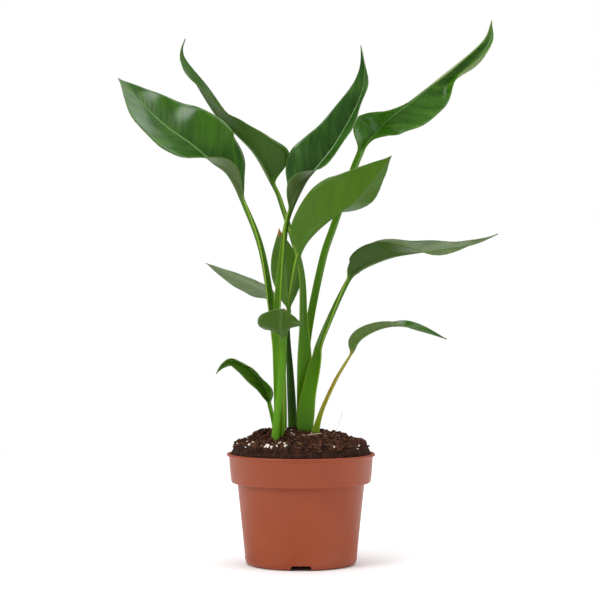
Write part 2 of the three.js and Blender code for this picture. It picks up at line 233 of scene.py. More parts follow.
def pot_cutters():
    """Four flared notches through the foot ring and four drain holes in the floor, as one shape."""
    shape = bmesh.new()
    for quarter in range(4):
        turn = Matrix.Rotation(math.radians(90 * quarter), 4, "Z")
        notch = bmesh.ops.create_cube(shape, size=MM)["verts"]
        bmesh.ops.transform(shape, matrix=Matrix.Diagonal((notch_top, 20, 5.1, 1)), verts=notch)
        bmesh.ops.translate(shape, vec=Vector((0, -41, 1.55)) * MM, verts=notch)
        for corner in notch:
            if corner.co.z < 0:
                corner.co.x *= notch_foot / notch_top
        bmesh.ops.transform(shape, matrix=turn, verts=notch)
        drain = bmesh.ops.create_cone(shape, cap_ends=True, segments=32, depth=6 * MM,
                                      radius1=drain_radius * MM, radius2=drain_radius * MM)
        bmesh.ops.translate(shape, vec=Vector((drain_place, 0, floor_height)) * MM, verts=drain["verts"])
        bmesh.ops.transform(shape, matrix=turn, verts=drain["verts"])
    return cutter_object("pot_cutters", shape)


pot = finished_piece("moulded_pot", spun(pot_outline(), 160), pot_finish())
cutters = pot_cutters()
cut = pot.modifiers.new("notches", "BOOLEAN")
cut.object = cutters
cut.operation = "DIFFERENCE"
cut.solver = "EXACT"
cut_mesh = bpy.data.meshes.new_from_object(pot.evaluated_get(bpy.context.evaluated_depsgraph_get()))
pot.modifiers.clear()
pot.data = cut_mesh
bpy.data.objects.remove(cutters)
pot.data.shade_smooth()
pot.data.set_sharp_from_angle(angle=math.radians(38))
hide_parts("pot")


# ---------------------------------------------------------------------------------------------
# The potting soil: moist brown peat heaped above the lip, loose crumbs of it on top, coir fibres
# and fine rootlets, and white perlite. It only lies in the pot, round the stalks.
# ---------------------------------------------------------------------------------------------
soil_crown = 108.5
soil_shoulder = 98
soil_shoulder_radius = 51.5
soil_radius = 56.6
soil_edge = 89


def soil_height(x, y):
    """The height of the heap at a place, all in millimetres, with its lumps and hollows."""
    radius = math.hypot(x, y)
    if radius < soil_shoulder_radius:
        rise = math.cos(math.pi / 2 * radius / soil_shoulder_radius) ** 1.2
        height = soil_shoulder + (soil_crown - soil_shoulder) * rise
    else:
        fall = (radius - soil_shoulder_radius) / (soil_radius - soil_shoulder_radius)
        height = soil_shoulder + (soil_edge - soil_shoulder) * fall ** 1.6
    clod = math.exp(-((x + 33) ** 2 + (y + 4) ** 2) / 60)
    inner = min(1, max(0, (58 - radius) / 8))
    broad = noise.noise(Vector((x, y, 3)) / 14) * 2.0
    medium = noise.noise(Vector((x, y, 9)) / 5) * 1.4
    fine = noise.noise(Vector((x, y, 5)) / 1.7) * 0.9
    return height + 4.5 * clod + inner * (broad + medium) + (0.4 + 0.6 * inner) * fine


def soil_finish(name, dark, middle, light):
    """Peat or fibre, lumpy and dull, from its darkest hollows to its lightest grains."""
    finish, tree, shader = new_finish(name)
    place = add_node(tree, "ShaderNodeTexCoord").outputs["Object"]
    lumps = add_node(tree, "ShaderNodeTexNoise",
                     {"Vector": place, "Scale": 220, "Detail": 8, "Roughness": 0.7})
    grains = add_node(tree, "ShaderNodeTexVoronoi", {"Vector": place, "Scale": 900})
    rounding = calculated(tree, "MULTIPLY", grains.outputs["Distance"], 0.25)
    tone = calculated(tree, "ADD", lumps.outputs["Fac"], rounding)
    colour = ramp(tree, tone, [(0.38, dark), (0.58, middle), (0.78, light)])
    tree.links.new(colour, shader.inputs["Base Color"])
    bump = add_node(tree, "ShaderNodeBump", {"Height": tone, "Strength": 0.8, "Distance": 0.0012})
    tree.links.new(bump.outputs[0], shader.inputs["Normal"])
    shader.inputs["Roughness"].default_value = 0.95
    shader.inputs["Specular IOR Level"].default_value = 0.2
    return finish


peat = soil_finish("moist_peat", paint(12, 6, 4), paint(34, 17, 10), paint(68, 40, 26))
heap_outline = [(0, 1.6), (13, 1.6), (15, 6.2), (42, 6.2), (43.6, 8), (49.8, 66.5), (54.6, 68.8)]
heap_outline += [(soil_radius, soil_edge - 3)]
heap_rings = 74
heap_outline += [(soil_radius * (1 - ring / heap_rings) ** 0.9, soil_edge) for ring in range(heap_rings)]
heap_outline += [(0, soil_edge)]
heap = spun(heap_outline, 300)
for vertex in heap.verts:
    x, y, z = vertex.co / MM
    if z > soil_edge - 1:
        vertex.co.z = soil_height(x, y) * MM
soil_heap = finished_piece("soil_heap", heap, peat)
soil_heap.data.shade_smooth()
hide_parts("potting_soil")


def scatter(count, seed, spread):
    """Random places on the heap, in millimetres, with the random generator that chose them."""
    chance = random.Random(seed)
    for _ in range(count):
        radius = spread * math.sqrt(chance.random())
        turn = chance.uniform(0, 2 * math.pi)
        x, y = radius * math.cos(turn), radius * math.sin(turn)
        yield chance, x, y


def random_turn(chance):
    """A turn about any axis."""
    axis = Vector((chance.gauss(0, 1), chance.gauss(0, 1), chance.gauss(0, 1))).normalized()
    return Quaternion(axis, chance.uniform(0, math.pi)).to_matrix().to_4x4()


def lump_templates(count, seed, detail, roughness):
    """Irregular grains about 1 mm in radius, their corners pushed in and out."""
    chance = random.Random(seed)
    made = []
    for number in range(count):
        shape = bmesh.new()
        for corner in bmesh.ops.create_icosphere(shape, subdivisions=detail, radius=MM)["verts"]:
            corner.co *= 1 + roughness * (chance.random() - 0.5)
        mesh = bpy.data.meshes.new(f"grain_{number}")
        shape.to_mesh(mesh)
        shape.free()
        made.append(mesh)
    return made


def add_lump(shape, chance, templates, place, size):
    """One grain set down in its own size, stretch and turn."""
    length, breadth, height = chance.uniform(0.8, 1.5), chance.uniform(0.7, 1.1), chance.uniform(0.5, 0.9)
    stretch = Matrix.Diagonal((length, breadth, height, 1))
    matrix = Matrix.Translation(Vector(place) * MM) @ random_turn(chance) @ stretch @ Matrix.Scale(size, 4)
    grain = chance.choice(templates)
    grain.transform(matrix)
    shape.from_mesh(grain, face_normals=False, vertex_normals=False)
    grain.transform(matrix.inverted())


crumb_templates = lump_templates(16, 5, 1, 0.7)
crumbs = bmesh.new()
for chance, x, y in scatter(2600, 11, 54.5):
    size = 0.5 + 1.7 * chance.random() ** 2.6
    add_lump(crumbs, chance, crumb_templates, (x, y, soil_height(x, y) + size * 0.35), size)
for chance, x, y in scatter(60, 12, 1):
    place = (-33 + 6 * x, -5 + 5 * y)
    size = chance.uniform(0.9, 2.0)
    add_lump(crumbs, chance, crumb_templates, (*place, soil_height(*place) + size * 0.6), size)
crumb_peat = soil_finish("peat_crumbs", paint(18, 9, 5), paint(50, 27, 16), paint(96, 60, 40))
soil_crumbs = finished_piece("soil_crumbs", crumbs, crumb_peat)


def add_strand(shape, places, thickness, sides):
    """A thin fibre through places in millimetres: a small ring extruded from one to the next."""
    strand = bmesh.new()
    ring = bmesh.ops.create_circle(strand, cap_ends=True, segments=sides, radius=thickness / 2 * MM)["verts"]
    toward = (places[1] - places[0]).normalized()
    turn = Vector((0, 0, 1)).rotation_difference(toward).to_matrix()
    bmesh.ops.rotate(strand, cent=(0, 0, 0), matrix=turn, verts=ring)
    bmesh.ops.translate(strand, vec=places[0] * MM, verts=ring)
    end = list(strand.faces)
    for before, after in zip(places, places[1:]):
        made = bmesh.ops.extrude_face_region(strand, geom=end, use_keep_orig=before == places[0])["geom"]
        end = [part for part in made if isinstance(part, bmesh.types.BMFace)]
        bmesh.ops.translate(strand, vec=(after - before) * MM, verts=end[0].verts)
    bmesh.ops.recalc_face_normals(strand, faces=strand.faces)
    mesh = bpy.data.meshes.new("strand")
    strand.to_mesh(mesh)
    strand.free()
    shape.from_mesh(mesh, face_normals=False, vertex_normals=False)
    bpy.data.meshes.remove(mesh)


def wandering(chance, x, y, length, steps):
    """Places along a line that strays over the heap, just clear of it and inside the pot."""
    wander = 0.5
    reach = 53
    heading = chance.uniform(0, 2 * math.pi)
    places = []
    for _ in range(steps + 1):
        places.append(Vector((x, y, soil_height(x, y) + 0.3 + 0.9 * chance.random())))
        heading += chance.uniform(-wander, wander)
        x += math.cos(heading) * length / steps
        y += math.sin(heading) * length / steps
        inward = min(1, reach / max(1, math.hypot(x, y)))
        x, y = x * inward, y * inward
    return places


fibres = bmesh.new()
for chance, x, y in scatter(620, 23, 53):
    route = wandering(chance, x, y, chance.uniform(4, 13), 5)
    add_strand(fibres, route, chance.uniform(0.3, 0.75), sides=3)
fibre_finish = soil_finish("coir_fibre", paint(48, 25, 14), paint(92, 57, 36), paint(146, 104, 72))
soil_fibres = finished_piece("soil_fibres", fibres, fibre_finish)


def perlite_finish():
    """White, chalky, full of pores, and stained by the peat here and there."""
    finish, tree, shader = new_finish("perlite")
    place = add_node(tree, "ShaderNodeTexCoord").outputs["Object"]
    pores = add_node(tree, "ShaderNodeTexVoronoi", {"Vector": place, "Scale": 1800})
    stain = add_node(tree, "ShaderNodeTexNoise", {"Vector": place, "Scale": 260, "Detail": 4})
    colour = ramp(tree, stain.outputs["Fac"], [(0.3, paint(196, 170, 148)), (0.5, paint(236, 226, 214)),
                                               (0.8, paint(250, 246, 240))])
    tree.links.new(colour, shader.inputs["Base Color"])
    bump = add_node(tree, "ShaderNodeBump", {"Height": pores.outputs["Distance"], "Strength": 0.7,
                                             "Distance": 0.0004})
    tree.links.new(bump.outputs[0], shader.inputs["Normal"])
    shader.inputs["Roughness"].default_value = 0.85
    return finish


perlite_templates = lump_templates(8, 6, 2, 0.35)
perlite = bmesh.new()
front_grains = [
    (-6, -28, 1.3), (-15, 2, 1.0), (-17, -38, 1.2), (-38, -28, 1.4), (-41, -32, 1.3), (-23, -34, 1.0),
    (-9, -36, 0.8), (-13, -42, 0.9), (-19, -45, 0.9), (-11, -46, 0.9), (-12, -50, 1.6), (-26, -45.5, 1.9),
    (-23, -47, 1.5), (-28, -45, 1.2), (15, -40, 0.8), (46, -26, 0.9), (26, -46, 1.0), (45, -30, 0.6),
    (4, -44, 0.7), (33, -41, 0.6), (-44, -30, 0.7), (-31, -42, 0.6), (9, -33, 0.6), (-2, -49, 0.6),
]
placing = random.Random(31)
for x, y, size in front_grains:
    add_lump(perlite, placing, perlite_templates, (x, y, soil_height(x, y) + 0.7 * size), size)
for chance, x, y in scatter(60, 32, 53):
    size = chance.uniform(0.4, 1.3)
    if y > -25:
        add_lump(perlite, chance, perlite_templates, (x, y, soil_height(x, y) + 0.6 * size), size)
perlite_grains = finished_piece("perlite_grains", perlite, perlite_finish())


def rootlet_finish():
    """Pale straw colour, stained darker in places."""
    finish, tree, shader = new_finish("pale_rootlet")
    place = add_node(tree, "ShaderNodeTexCoord").outputs["Object"]
    stain = add_node(tree, "ShaderNodeTexNoise", {"Vector": place, "Scale": 320, "Detail": 4})
    colour = ramp(tree, stain.outputs["Fac"], [(0.3, paint(150, 120, 88)), (0.7, paint(214, 194, 170))])
    tree.links.new(colour, shader.inputs["Base Color"])
    shader.inputs["Roughness"].default_value = 0.7
    return finish


rootlets = bmesh.new()
hair = [(24, -14, 104), (27, -14, 107.5), (30, -14, 112.5), (32, -14, 118.5), (33.2, -14, 124.5)]
add_strand(rootlets, [Vector(place) for place in hair], 0.22, sides=5)
surface_root = [Vector((x, -24, soil_height(x, -24) + 1.2)) for x in (0, 4, 8, 12, 16, 20)]
add_strand(rootlets, surface_root, 1.0, sides=6)
for chance, x, y in scatter(26, 41, 50):
    route = wandering(chance, x, y, chance.uniform(4, 10), 6)
    add_strand(rootlets, route, chance.uniform(0.25, 0.4), sides=4)
surface_rootlets = finished_piece("surface_rootlets", rootlets, rootlet_finish())


# ---------------------------------------------------------------------------------------------
# The leaves: each one growth from its foot in the soil to its tip. A grooved, fleshy stalk opens
# into a leathery blade, glossy above and duller and greyer below, with a pale raised midrib and
# fine veins that run from it to the margin. Young ones are still folded along the midrib.
# ---------------------------------------------------------------------------------------------
# stalk, blade: guide points in millimetres, from the buried foot to the neck and on to the tip.
# width, depth: the stalk across, at even steps from foot to neck. left, right: half widths of the
# blade at even steps from neck to tip. fold: how steeply the halves rise from the midrib, curl: how
# far they bend on, turn: which way the upper side looks, all in degrees at even steps. waves: which
# half has a wavy margin, how high, how many times and from where.
leaves = [
    dict(name="leaf_upper_left",
         stalk=[(-17, -20, 86), (-17.5, -20, 120), (-18.5, -20, 150), (-21, -20, 183), (-31, -22, 249),
                (-45, -24, 289)],
         blade=[(-57, -25, 313), (-71, -25, 324), (-89, -22, 339), (-113, -16, 357), (-148, -3, 393)],
         width=(8, 7.5, 7, 6, 5.5, 5, 4.8), depth=(4, 4), foot_turn=0,
         left=[0, 7, 18, 26, 29, 26, 20, 10, 0], right=[0.5, 9, 25, 30.5, 28, 23, 16.5, 8.5, 0],
         fold=[78, 74, 54, 33, 28, 26, 24, 22, 20], curl=[0],
         turn=[88, 80, 56, 32, 28, 28, 25, 22, 20],
         waves=[(1, 1.3, 4.2, 0.1), (-1, 0.5, 3, 0.4)]),
    dict(name="leaf_curled_left",
         stalk=[(2.5, -3, 84), (2.5, -3, 133), (2.5, -3, 170), (1.5, -3, 200), (-1, -2, 240), (-16, 0, 291),
                (-21, 0, 304)],
         blade=[(-36, -3, 331), (-52, -5, 348), (-68, -6, 363), (-91, -8, 400), (-96, -8, 413),
                (-93, -8, 424)],
         width=(11, 12, 12, 11.5, 7, 5.5, 4.8, 4.2, 4), depth=(4.2, 3.6), foot_turn=0,
         left=[0, 22, 17, 13, 13, 15, 14, 6, 0], right=[0, 24, 18, 14, 12, 10, 7, 3, 0],
         fold=[80, 78, 68, 52, 40, 28, 18, 15, 20], curl=[0],
         turn=[90, 90, 90, 90, 85, 75, 62, 60, 70],
         waves=[(-1, 1.2, 3, 0.2), (1, 0.8, 2.6, 0.5)]),
    dict(name="leaf_upright_middle",
         stalk=[(-18, -26, 86), (-18, -26, 134), (-19, -26, 178), (-18, -26, 213), (-14, -26, 253),
                (-10, -25, 280)],
         blade=[(2, -24, 306), (14, -23, 321), (29, -22, 341), (47, -17, 375), (51, -12, 397),
                (48, -6, 419)],
         width=(7.5, 4.6), depth=(4, 4), foot_turn=0,
         left=[0, 10, 24, 22.5, 18, 14.5, 10, 4, 0], right=[0, 11, 18, 17, 14, 13, 10, 5, 0],
         fold=[75, 70, 45, 38, 38, 38, 40, 42, 45], curl=[0],
         turn=[-90, -85, -48, -32, -32, -33, -36, -40, -42],
         waves=[(-1, 0.9, 3.4, 0.2), (1, 1.2, 4, 0.6)]),
    dict(name="leaf_bowed_right",
         stalk=[(-14, -14, 85), (-14, -14, 133), (-13, -15, 177), (-10, -19, 205), (-6, -26, 229),
                (-2, -33, 247)],
         blade=[(3, -37, 258), (13, -41, 269), (28, -45, 281), (46, -47, 295), (71, -45, 327)],
         width=(5.4, 3.6), depth=(3.6, 3.2), foot_turn=-60,
         left=[0, 15.9, 23.7, 26.9, 26.5, 23.8, 18.1, 9.4, 0],
         right=[0, 15.3, 23.2, 27.3, 27.7, 24.5, 18, 9, 0],
         fold=[75, 60, 50, 35, 25, 25], curl=[0],
         turn=[-120, -130, -135, -144, -148, -148],
         waves=[(-1, 0.6, 4, 0), (1, 1.0, 3.6, 0.3)]),
    dict(name="leaf_tall_right",
         stalk=[(3, 5, 83), (3, 5, 132), (5, 6, 181), (17, 10, 243), (27, 12, 274), (48, 16, 332)],
         blade=[(63, 18, 352), (75, 19, 364), (93, 21, 378), (114, 24, 395), (149, 27, 425),
                (158, 28, 444)],
         width=(7, 5.6), depth=(4.2, 4.2), foot_turn=0,
         left=[7, 20, 13.5, 12, 9, 5, 2.5, 1, 0], right=[0.5, 12, 16, 21.5, 20.5, 15, 21, 11, 0],
         fold=[50, 40, 35, 40, 40, 38, 35, 35, 35],
         curl=[0], curl_right=[0, 0, 0, 0, 30, 120, 180, 170, 60],
         turn=[-10, -28, 30, 48, 55, 60, 70, 85, 95],
         waves=[(-1, 0.7, 3, 0.3), (1, 1.3, 3.2, 0.1)]),
    dict(name="leaf_arching_right",
         stalk=[(3, -9, 85), (3.5, -9, 110), (5, -9, 130), (9, -9, 150), (13, -9, 166), (17, -8, 182),
                (37, -3, 227)],
         blade=[(46, -3, 237), (57, -3, 243), (74, -3, 249), (92, -4, 252), (116, -5, 255),
                (140, -6, 259), (159, -7, 267)],
         width=(10.5, 11.5, 14, 12, 10.5, 5.8, 5.2, 4.8, 4.6),
         depth=(3.8, 3.8, 3.8, 3.8, 4, 4.2, 4, 3.8, 3.8), foot_turn=0,
         left=[0, 14.8, 17.8, 17.7, 16.2, 13.3, 9.2, 4.4, 0],
         right=[0, 14.8, 17.8, 17.7, 16.2, 13.3, 9.2, 4.4, 0],
         fold=[78, 65, 55, 30, 8, 8, 15, 20], curl=[0],
         turn=[-90, -90, -88, -78, -66, -66, -72, -80],
         waves=[(-1, 0.9, 3.5, 0.2), (1, 0.9, 3, 0.7)]),
    dict(name="leaf_short_front",
         stalk=[(-21, -32, 87), (-20, -32, 110), (-17, -32, 140), (-14.5, -32, 174), (-14, -33, 183)],
         blade=[(-15, -41, 190), (-15, -53, 197), (-14, -63, 203), (-13, -71, 207)],
         width=(6.5, 4.8), depth=(4, 3.6), foot_turn=180,
         left=[0, 9.9, 13.5, 15.4, 16, 15.1, 11.8, 6.2, 0], right=[0, 11.8, 16, 18.3, 19, 17.9, 14, 7.4, 0],
         fold=[50, 10, 0, -5, 0], curl=[0],
         turn=[180]),
    dict(name="leaf_low_right",
         stalk=[(8, -16, 85), (11, -16, 103), (15, -16, 119), (20, -15, 132), (29, -14, 151),
                (39, -13, 168)],
         blade=[(45, -12, 180), (54, -11, 187), (67, -9, 192), (81, -7, 193), (99, -5, 189),
                (118, -3, 182)],
         width=(10, 9, 6.5, 4.2, 3.3, 3, 2.8, 2.5, 2.4), depth=(3, 3, 3, 2.6, 2.4, 2.2, 2), foot_turn=-20,
         left=[0, 7, 8.8, 8.9, 8.1, 6.6, 4.6, 2.2, 0], right=[0, 7, 8.8, 8.9, 8.1, 6.6, 4.6, 2.2, 0],
         fold=[70, 60, 40, 20, 20, 20, 20], curl=[0],
         turn=[-90, -90, -90, -90, -60, -50, -50]),
    dict(name="leaf_back_left",
         stalk=[(-14, -3, 84), (-14, -2, 133), (-15, 2, 173), (-16, 9, 195), (-20, 14, 209)],
         blade=[(-27, 20, 219), (-39, 26, 225), (-52, 31, 231), (-65, 35, 237), (-79, 38, 244)],
         width=(5.5, 3.6), depth=(3.6, 3), foot_turn=180,
         left=[0, 4.5, 5.6, 5.4, 5, 4.2, 3, 1.5, 0], right=[0, 4.9, 7.8, 9, 8.7, 7.4, 5.4, 2.6, 0],
         fold=[60, 30, 25, 20], curl=[0],
         turn=[180],
         waves=[(-1, 0.5, 4, 0.1), (1, 0.7, 3.6, 0.5)]),
    dict(name="leaf_low_left",
         stalk=[(-20, -11, 85), (-21, -10, 109), (-25, -9, 128)],
         blade=[(-30, -8, 145), (-39, -9, 156), (-47, -10, 162), (-56, -13, 165), (-63, -15, 161),
                (-68, -16, 154)],
         width=(4.6, 3.4), depth=(3.6, 3), foot_turn=0,
         left=[0, 5.5, 8.6, 10, 9.5, 7.9, 5.5, 2.6, 0], right=[0, 8.2, 10.8, 10.6, 9.2, 7.1, 4.7, 2.1, 0],
         fold=[50, 55, 57, 50, 30], curl=[0],
         turn=[0, -15, -27, -27, -27],
         waves=[(1, 0.9, 3, 0.3)]),
    dict(name="leaf_upright_back",
         stalk=[(-7, 12, 83), (-7, 12, 115), (-9, 12, 156), (-11, 11, 189), (-10, 10, 204)],
         blade=[(-11, 9, 215), (-12, 9, 232), (-15, 10, 252), (-18, 13, 272)],
         width=(7.5, 7.5, 6.5, 4.5, 3.8), depth=(3.6, 3), foot_turn=180,
         left=[0, 6.5, 10.5, 12.6, 12.9, 11.4, 8.4, 4.2, 0], right=[0, 6, 9.7, 11.7, 11.9, 10.5, 7.7, 3.9, 0],
         fold=[50, 10, 10], curl=[0],
         turn=[180]),
]
lamina = 0.5            # thickness of the thin part of a blade
midrib = 2.1            # thickness of a blade along its midrib, at the neck
opening = 0.08          # part of a blade's length over which the stalk opens out
across_steps = 20       # from margin to margin
blade_steps = 110
stalk_steps = 60


def eased(low, high, fraction):
    """From low to high with a soft start and end."""
    fraction = min(1, max(0, fraction))
    return low + (high - low) * fraction * fraction * (3 - 2 * fraction)


def along(values, fraction):
    """Runs smoothly through values that stand at even steps over the fractions 0 to 1."""
    last = len(values) - 1
    place = min(1, fraction) * last
    start = min(int(place), max(0, last - 1))
    before, low, high, after = (values[min(last, max(0, start + step))] for step in (-1, 0, 1, 2))
    t = place - start
    leave, arrive, drop = (high - before) / 2, (after - low) / 2, low - high
    return low + leave * t - (3 * drop + 2 * leave + arrive) * t ** 2 + (2 * drop + leave + arrive) * t ** 3


class GrowthLine:
    """A smooth curve through a leaf's guide points, read by its fraction of length."""

    def __init__(self, points, fine=400):
        points = [Vector(point) for point in points]
        self.points = [points[0] * 2 - points[1], *points, points[-1] * 2 - points[-2]]
        self.fine = fine
        samples = [self.at(step / fine) for step in range(fine + 1)]
        self.lengths = [0.0]
        for before, after in zip(samples, samples[1:]):
            self.lengths.append(self.lengths[-1] + (after - before).length)

    def at(self, share):
        spans = len(self.points) - 3
        span = min(int(share * spans), spans - 1)
        t = share * spans - span
        before, start, end, after = self.points[span:span + 4]
        leave = (end - before) / 2
        arrive = (after - start) / 2
        return (start + leave * t + (3 * (end - start) - 2 * leave - arrive) * t ** 2
                + (2 * (start - end) + leave + arrive) * t ** 3)

    def share_of(self, fraction):
        target = fraction * self.lengths[-1]
        low, high = 0, self.fine
        while high - low > 1:
            middle = (low + high) // 2
            if self.lengths[middle] <= target:
                low = middle
            else:
                high = middle
        part = (target - self.lengths[low]) / max(1e-9, self.lengths[high] - self.lengths[low])
        return (low + part) / self.fine

    def centre_and_heading(self, fraction):
        share = self.share_of(fraction)
        ahead = self.at(min(1, share + 1e-3))
        behind = self.at(max(0, share - 1e-3))
        return self.at(share), (ahead - behind).normalized()


def stalk_section(width, depth, q, under):
    """A point of the stalk's cut face: a D with a shallow channel in its flat side."""
    if not under:
        return q * width / 2, depth / 2 - 0.22 * depth * (1 - q * q)
    edge = min(0.9, depth / 3)
    swing = q * math.pi / 2
    return math.sin(swing) * width / 2, depth / 2 - edge - (depth - edge) * math.cos(swing)


def blade_section(leaf, fraction, q, under, length):
    """A point of the blade's cut face, with its midrib, its pleats and its wavy margins."""
    half = max(0.25, along(leaf["left"] if q < 0 else leaf["right"], fraction))
    bends = leaf["curl"] if q < 0 else leaf.get("curl_right", leaf["curl"])
    start = math.radians(along(leaf["fold"], fraction))
    rate = (math.radians(along(bends, fraction)) or 1e-6) / half
    distance = abs(q) * half
    slope = start + rate * distance
    vein = fraction * length - 20 * abs(q) ** 1.3
    relief = 0.07 * math.sin(vein * 2 * math.pi / 5.2) * min(1, distance / 6)
    for side, size, count, phase in leaf.get("waves", []):
        if side * q > 0:
            relief += size * math.sin(2 * math.pi * (count * fraction + phase)) * q * q * min(1, half / 10)
    across = (math.sin(slope) - math.sin(start)) / rate - relief * math.sin(slope)
    up = (math.cos(start) - math.cos(slope)) / rate + relief * math.cos(slope)
    if under:
        rib = midrib + (0.7 - midrib) * fraction
        thick = lamina + (rib - lamina) * math.exp(-(distance / 1.25) ** 2)
        across += thick * math.sin(slope) * min(1, distance / 0.6)
        up -= thick * math.cos(slope * min(1, distance / 0.6))
    else:
        up -= 0.3 * math.exp(-(distance / 0.8) ** 2) * (1 - fraction)
    return math.copysign(1, q) * across, up


def leaf_shape(leaf):
    """The leaf as a grid that is wrapped round the growth line and closed at its foot and tip."""
    line = GrowthLine(leaf["stalk"] + leaf["blade"])
    spans = len(leaf["stalk"]) + len(leaf["blade"]) - 1
    neck_share = (len(leaf["stalk"]) - 1) / spans
    neck = line.lengths[round(line.fine * neck_share)] / line.lengths[-1]
    length = line.lengths[-1] * (1 - neck)
    total = stalk_steps + blade_steps
    rings = 2 * across_steps + 2
    shape = bmesh.new()
    bmesh.ops.create_grid(shape, x_segments=rings, y_segments=total, size=0.5, calc_uvs=False)
    pattern = shape.loops.layers.uv.new("across_along")
    zone = shape.loops.layers.uv.new("under_blade")

    def lateral(column):
        """Column of the grid to the place across, -1 to 1, and whether it is on the under side."""
        under = column > across_steps
        step = column - (across_steps + 1) if under else column
        u = 2 * step / across_steps - 1
        q = math.copysign(abs(u) ** 1.35, u)
        return (-q if under else q), under

    frames = {}                 # row: centre, upper side, across, part of the stalk and of the blade
    column_size = 10000         # a vertex's index holds its column and its row
    for vertex in shape.verts:
        column = round((vertex.co.x + 0.5) * rings)
        row = round((vertex.co.y + 0.5) * total)
        if row <= stalk_steps:
            fraction = neck * row / stalk_steps
        else:
            fraction = neck + (1 - neck) * min(0.999, (row - stalk_steps) / blade_steps)
        if row not in frames:
            centre, heading = line.centre_and_heading(fraction)
            stalk_part = min(1, fraction / neck)
            blade_part = max(0, (fraction - neck) / (1 - neck))
            if blade_part > 0:
                turn = along(leaf["turn"], blade_part)
            else:
                turn = leaf["foot_turn"] + (leaf["turn"][0] - leaf["foot_turn"]) * stalk_part ** 2
            face = Vector((0, -1, 0))
            face = (face - heading * face.dot(heading)).normalized()
            face = Quaternion(heading, math.radians(turn)) @ face
            frames[row] = centre, face, heading.cross(face), stalk_part, blade_part
        centre, face, across, stalk_part, blade_part = frames[row]
        q, under = lateral(column % rings)
        width, depth = along(leaf["width"], stalk_part), along(leaf["depth"], stalk_part)
        opened = eased(0, 1, blade_part / opening)
        stalk_x, stalk_z = stalk_section(width, depth, q, under)
        blade_x, blade_z = blade_section(leaf, blade_part, q, under, length)
        sideways = stalk_x + (blade_x - stalk_x) * opened
        outwards = stalk_z + (blade_z - stalk_z) * opened
        vertex.co = (centre + across * sideways + face * outwards) * MM
        vertex.index = column * column_size + row

    for patch in shape.faces:
        columns = [loop.vert.index // column_size for loop in patch.loops]
        under = min(columns) >= across_steps + 1
        for loop in patch.loops:
            column, row = divmod(loop.vert.index, column_size)
            q = lateral(column)[0] if column < rings else -1
            blade_part = max(0, (row - stalk_steps) / blade_steps)
            stalk_mm = frames[row][3] * neck * line.lengths[-1]
            loop[pattern].uv = (q / 2 + 0.5, (stalk_mm + blade_part * length) / 100)
            loop[zone].uv = (1.0 if under else 0.0, blade_part)
    bmesh.ops.remove_doubles(shape, verts=shape.verts, dist=2e-6)
    bmesh.ops.holes_fill(shape, edges=[edge for edge in shape.edges if edge.is_boundary], sides=0)
    bmesh.ops.recalc_face_normals(shape, faces=shape.faces)
    return shape


